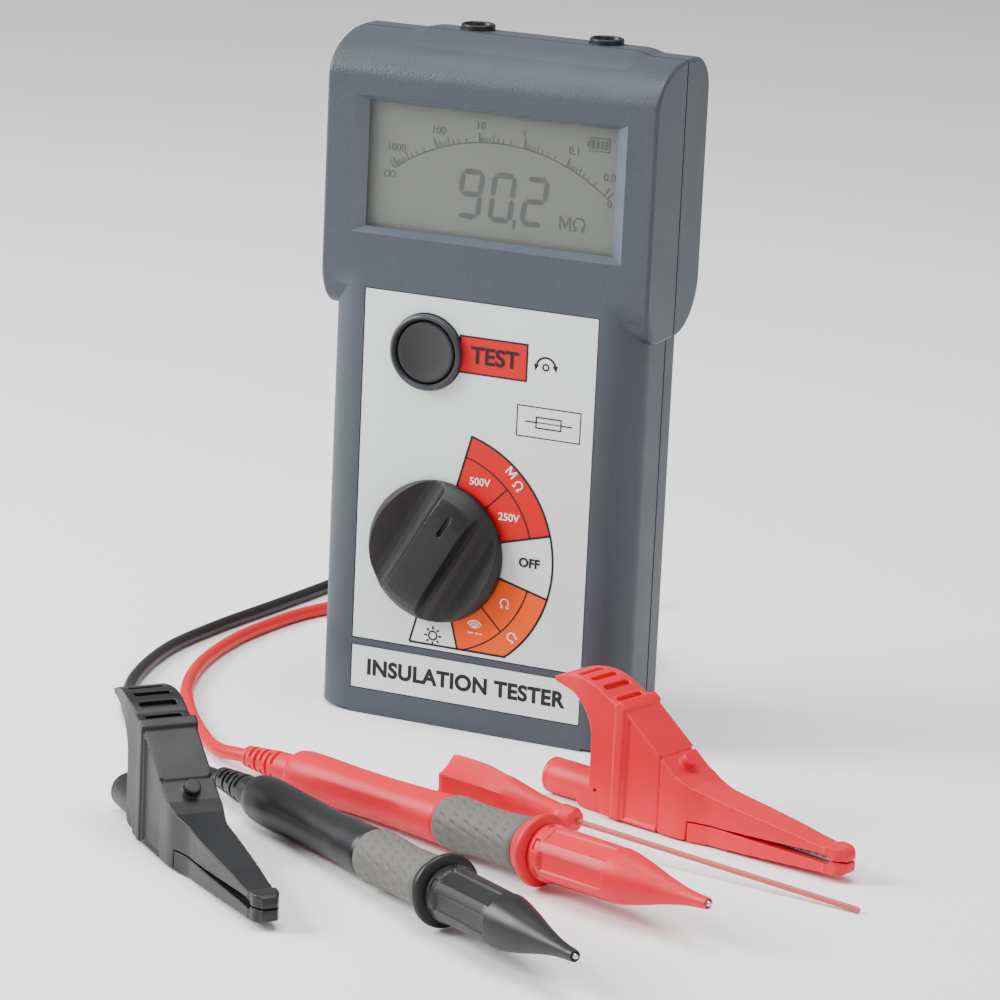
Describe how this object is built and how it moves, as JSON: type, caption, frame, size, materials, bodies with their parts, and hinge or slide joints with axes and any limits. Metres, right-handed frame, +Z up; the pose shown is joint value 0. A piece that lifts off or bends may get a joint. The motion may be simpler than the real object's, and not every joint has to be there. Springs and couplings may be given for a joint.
{
  "type": "insulation resistance tester",
  "caption": "Hand-held insulation resistance tester with display, test button and range knob, plus red and black probe leads, crocodile clips and a long-reach prod.",
  "frame": {"origin": "on the surface that the tester stands on, midway across its width, at the middle of the base's flat pad", "axes": "+Z up along the tester's height, -Y out of the display and dial, +X to the right of somebody reading the dial"},
  "size_m": [0.2553, 0.3516, 0.1946],
  "materials": {
    "case_grey": "fine moulded texture, semi-matt blue-grey",
    "seal_black": "soft black rubber",
    "clear_window": "clear polished window",
    "lcd_glass": "grey-green reflective display",
    "label_grey": "satin printed overlay",
    "black_plastic": "semi-matt black moulding",
    "red_plastic": "satin red moulding",
    "grip_grey": "dimpled soft grey grip",
    "lead_black": "flexible lead jacket, satin",
    "lead_red": "flexible lead jacket, satin",
    "steel": "bright plated steel",
    "brass": "plated brass contact",
    "board_green": "printed circuit board",
    "copper": "wound copper and core",
    "cell_sleeve": "printed cell sleeve",
    "ceramic": "ceramic tube"
  },
  "bodies": {
    "tester_and_leads": {"front_case": "case_grey", "rear_case": "case_grey", "button_bezel": "case_grey", "case_seal": "seal_black", "display_window": "clear_window", "lcd_module": "lcd_glass", "front_label": "label_grey", "name_plate": "label_grey", "buzzer": "black_plastic", "socket_collar_left": "black_plastic", "socket_collar_right": "black_plastic", "case_screw_1": "steel", "case_screw_2": "steel", "socket_contact_left": "brass", "socket_contact_right": "brass", "main_pcb": "board_green", "fuse": "ceramic", "transformer": "copper", "battery_cell_1": "cell_sleeve", "battery_cell_2": "cell_sleeve", "battery_cell_3": "cell_sleeve", "battery_cell_4": "cell_sleeve", "battery_cell_5": "cell_sleeve", "lead_red": "lead_red", "lead_red_coil": "lead_red", "lead_red_plug": "red_plastic", "lead_red_relief": "red_plastic", "probe_red_handle": "red_plastic", "clip_red_base": "red_plastic", "probe_red_grip": "grip_grey", "probe_red_tip": "steel", "clip_red_teeth_low": "steel", "clip_red_pin": "steel", "clip_red_spring": "steel", "lead_black": "lead_black", "lead_black_coil": "lead_black", "lead_black_plug": "black_plastic", "lead_black_relief": "black_plastic", "probe_black_handle": "black_plastic", "clip_black_base": "black_plastic", "probe_black_grip": "grip_grey", "probe_black_tip": "steel", "clip_black_teeth_low": "steel", "clip_black_pin": "steel", "clip_black_spring": "steel", "prod_cone": "red_plastic", "prod_rod": "red_plastic"},
    "button_plunger": {"button_stem": "black_plastic", "button_spring": "steel"},
    "test_button": {"test_button": "black_plastic"},
    "range_knob": {"range_knob": "black_plastic", "range_shaft": "steel"},
    "battery_cover": {"battery_cover": "case_grey", "cover_screw": "steel"},
    "clip_red_lever": {"clip_red_lever": "red_plastic", "clip_red_teeth_top": "steel"},
    "probe_red_nose": {"probe_red_nose": "red_plastic"},
    "clip_black_lever": {"clip_black_lever": "black_plastic", "clip_black_teeth_top": "steel"},
    "probe_black_nose": {"probe_black_nose": "black_plastic"}
  },
  "joints": [
    {"name": "test_button_press", "type": "slide", "parent": "tester_and_leads", "child": "button_plunger", "axis": [0, 1, 0], "range_m": [0, 0.002], "stiffness_N_per_m": 300, "springref_m": -0.002, "deforming": ["button_spring"]},
    {"name": "test_button_turn", "type": "hinge", "parent": "button_plunger", "child": "test_button", "pos_m": [-0.0156, -0.0195, 0.1067], "axis": [0, 1, 0], "range_deg": [0, 45]},
    {"name": "range_knob_turn", "type": "hinge", "parent": "tester_and_leads", "child": "range_knob", "pos_m": [-0.01, -0.02, 0.0509], "axis": [0, 1, 0], "range_deg": [0, 150]},
    {"name": "battery_cover_lift", "type": "slide", "parent": "tester_and_leads", "child": "battery_cover", "axis": [0, 1, 0], "range_m": [0, 0.018]},
    {"name": "clip_red_jaw", "type": "hinge", "parent": "tester_and_leads", "child": "clip_red_lever", "pos_m": [0.06439, -0.05935, 0.0034], "axis": [-0.284, -0.9588, 0], "range_deg": [0, 18], "stiffness_Nm_per_rad": 0.15, "springref_deg": -28.65},
    {"name": "clip_black_jaw", "type": "hinge", "parent": "tester_and_leads", "child": "clip_black_lever", "pos_m": [-0.0304, -0.13973, 0.0034], "axis": [-0.6561, -0.7547, 0], "range_deg": [0, 18], "stiffness_Nm_per_rad": 0.15, "springref_deg": -28.65},
    {"name": "probe_red_nose_pull", "type": "slide", "parent": "tester_and_leads", "child": "probe_red_nose", "axis": [0.9264, -0.3743, 0.0413], "range_m": [0, 0.06]},
    {"name": "probe_black_nose_pull", "type": "slide", "parent": "tester_and_leads", "child": "probe_black_nose", "axis": [0.8322, -0.5529, 0.0413], "range_m": [0, 0.06]}
  ]
}
